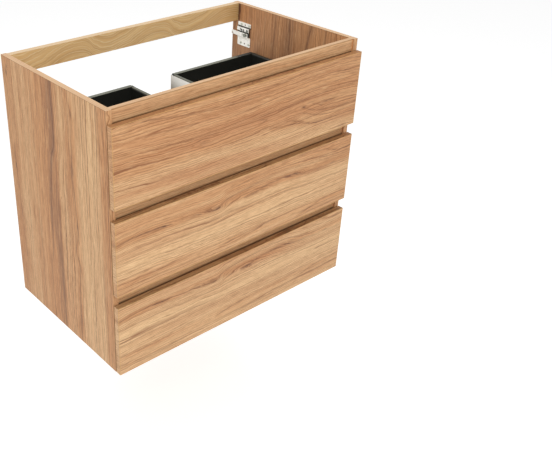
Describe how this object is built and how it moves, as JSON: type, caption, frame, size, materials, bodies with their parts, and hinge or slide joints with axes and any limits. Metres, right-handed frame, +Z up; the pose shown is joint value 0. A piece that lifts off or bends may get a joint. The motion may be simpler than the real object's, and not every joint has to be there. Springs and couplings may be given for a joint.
{
  "type": "bathroom vanity cabinet",
  "caption": "Wall-hung vanity base in wood decor: open top, handleless drawers on full-extension runners, siphon cut-out, adjustable wall hangers.",
  "frame": {"origin": "under the middle of the whole, in the plane of the underside", "axes": "+X to the right across the width, +Y to the wall, +Z up; the drawer fronts face -Y"},
  "size_m": [0.8, 0.4856, 0.71],
  "materials": {
    "wood_decor": "matt, embossed grain",
    "oak_decor": "matt",
    "beech": "raw",
    "base_board": "matt melamine",
    "anthracite_steel": "satin powder coat",
    "galvanised_steel": "galvanised",
    "nickel_steel": "nickel-plated",
    "screw_steel": "zinc-plated",
    "cap_plastic": "fine-grained"
  },
  "bodies": {
    "carcass": {"side_panel_left": "wood_decor", "side_panel_right": "wood_decor", "bottom_panel": "wood_decor", "top_front_rail": "wood_decor", "upper_front_rail": "wood_decor", "lower_front_rail": "wood_decor", "top_back_rail": "oak_decor", "bottom_back_rail": "oak_decor", "carcass_dowels": "beech", "runner_cabinet_top_left": "galvanised_steel", "runner_cabinet_top_right": "galvanised_steel", "runner_cabinet_middle_left": "galvanised_steel", "runner_cabinet_middle_right": "galvanised_steel", "runner_cabinet_bottom_left": "galvanised_steel", "runner_cabinet_bottom_right": "galvanised_steel", "runner_screws": "screw_steel", "hanger_plate_left": "nickel_steel", "hanger_plate_right": "nickel_steel", "hanger_plate_screws": "screw_steel"},
    "drawer_top": {"front_top": "wood_decor", "steel_side_top_left": "anthracite_steel", "steel_side_top_right": "anthracite_steel", "front_brackets_top": "galvanised_steel", "runner_drawer_top": "galvanised_steel", "base_top": "base_board", "steel_back_top_left": "anthracite_steel", "steel_back_top_right": "anthracite_steel", "cutout_wall_left": "anthracite_steel", "cutout_wall_right": "anthracite_steel", "cutout_wall_front": "anthracite_steel", "cutout_caps": "cap_plastic"},
    "drawer_middle": {"front_middle": "wood_decor", "steel_side_middle_left": "anthracite_steel", "steel_side_middle_right": "anthracite_steel", "front_brackets_middle": "galvanised_steel", "runner_drawer_middle": "galvanised_steel", "base_middle": "base_board", "steel_back_middle": "anthracite_steel"},
    "drawer_bottom": {"front_bottom": "wood_decor", "steel_side_bottom_left": "anthracite_steel", "steel_side_bottom_right": "anthracite_steel", "front_brackets_bottom": "galvanised_steel", "runner_drawer_bottom": "galvanised_steel", "base_bottom": "base_board", "steel_back_bottom": "anthracite_steel"},
    "link_top": {"runner_link_top": "galvanised_steel"},
    "link_middle": {"runner_link_middle": "galvanised_steel"},
    "link_bottom": {"runner_link_bottom": "galvanised_steel"},
    "carriage_left": {"hanger_carriage_left": "nickel_steel"},
    "hook_left": {"hanger_hook_left": "nickel_steel"},
    "height_adjuster_left": {"height_screw_left": "screw_steel"},
    "depth_adjuster_left": {"depth_screw_left": "screw_steel"},
    "carriage_right": {"hanger_carriage_right": "nickel_steel"},
    "hook_right": {"hanger_hook_right": "nickel_steel"},
    "height_adjuster_right": {"height_screw_right": "screw_steel"},
    "depth_adjuster_right": {"depth_screw_right": "screw_steel"}
  },
  "joints": [
    {"name": "drawer_top_slide", "type": "slide", "parent": "carcass", "child": "drawer_top", "axis": [0, -1, 0], "range_m": [0, 0.35]},
    {"name": "drawer_middle_slide", "type": "slide", "parent": "carcass", "child": "drawer_middle", "axis": [0, -1, 0], "range_m": [0, 0.35]},
    {"name": "drawer_bottom_slide", "type": "slide", "parent": "carcass", "child": "drawer_bottom", "axis": [0, -1, 0], "range_m": [0, 0.35]},
    {"name": "link_top_slide", "type": "slide", "parent": "carcass", "child": "link_top", "axis": [0, -1, 0], "range_m": [0, 0.175]},
    {"name": "link_middle_slide", "type": "slide", "parent": "carcass", "child": "link_middle", "axis": [0, -1, 0], "range_m": [0, 0.175]},
    {"name": "link_bottom_slide", "type": "slide", "parent": "carcass", "child": "link_bottom", "axis": [0, -1, 0], "range_m": [0, 0.175]},
    {"name": "hanger_height_left", "type": "slide", "parent": "carcass", "child": "carriage_left", "axis": [0, 0, 1], "range_m": [-0.004, 0.004]},
    {"name": "hanger_depth_left", "type": "slide", "parent": "carriage_left", "child": "hook_left", "axis": [0, 1, 0], "range_m": [-0.006, 0.006]},
    {"name": "height_turn_left", "type": "hinge", "parent": "carcass", "child": "height_adjuster_left", "pos_m": [-0.38, 0.17425, 0.6345], "axis": [1, 0, 0], "range_deg": [-75, 75]},
    {"name": "depth_turn_left", "type": "hinge", "parent": "carriage_left", "child": "depth_adjuster_left", "pos_m": [-0.3775, 0.18225, 0.621], "axis": [1, 0, 0], "range_deg": [-110, 110]},
    {"name": "hanger_height_right", "type": "slide", "parent": "carcass", "child": "carriage_right", "axis": [0, 0, 1], "range_m": [-0.004, 0.004]},
    {"name": "hanger_depth_right", "type": "slide", "parent": "carriage_right", "child": "hook_right", "axis": [0, 1, 0], "range_m": [-0.006, 0.006]},
    {"name": "height_turn_right", "type": "hinge", "parent": "carcass", "child": "height_adjuster_right", "pos_m": [0.38, 0.17425, 0.6345], "axis": [-1, 0, 0], "range_deg": [-75, 75]},
    {"name": "depth_turn_right", "type": "hinge", "parent": "carriage_right", "child": "depth_adjuster_right", "pos_m": [0.3775, 0.18225, 0.621], "axis": [-1, 0, 0], "range_deg": [-110, 110]}
  ],
  "couplings": [
    {"joint": "link_top_slide", "follows": "drawer_top_slide", "ratio": 0.5},
    {"joint": "link_middle_slide", "follows": "drawer_middle_slide", "ratio": 0.5},
    {"joint": "link_bottom_slide", "follows": "drawer_bottom_slide", "ratio": 0.5},
    {"joint": "height_turn_left", "follows": "hanger_height_left", "rad_per_m": 300},
    {"joint": "depth_turn_left", "follows": "hanger_depth_left", "rad_per_m": 300},
    {"joint": "height_turn_right", "follows": "hanger_height_right", "rad_per_m": 300},
    {"joint": "depth_turn_right", "follows": "hanger_depth_right", "rad_per_m": 300}
  ]
}
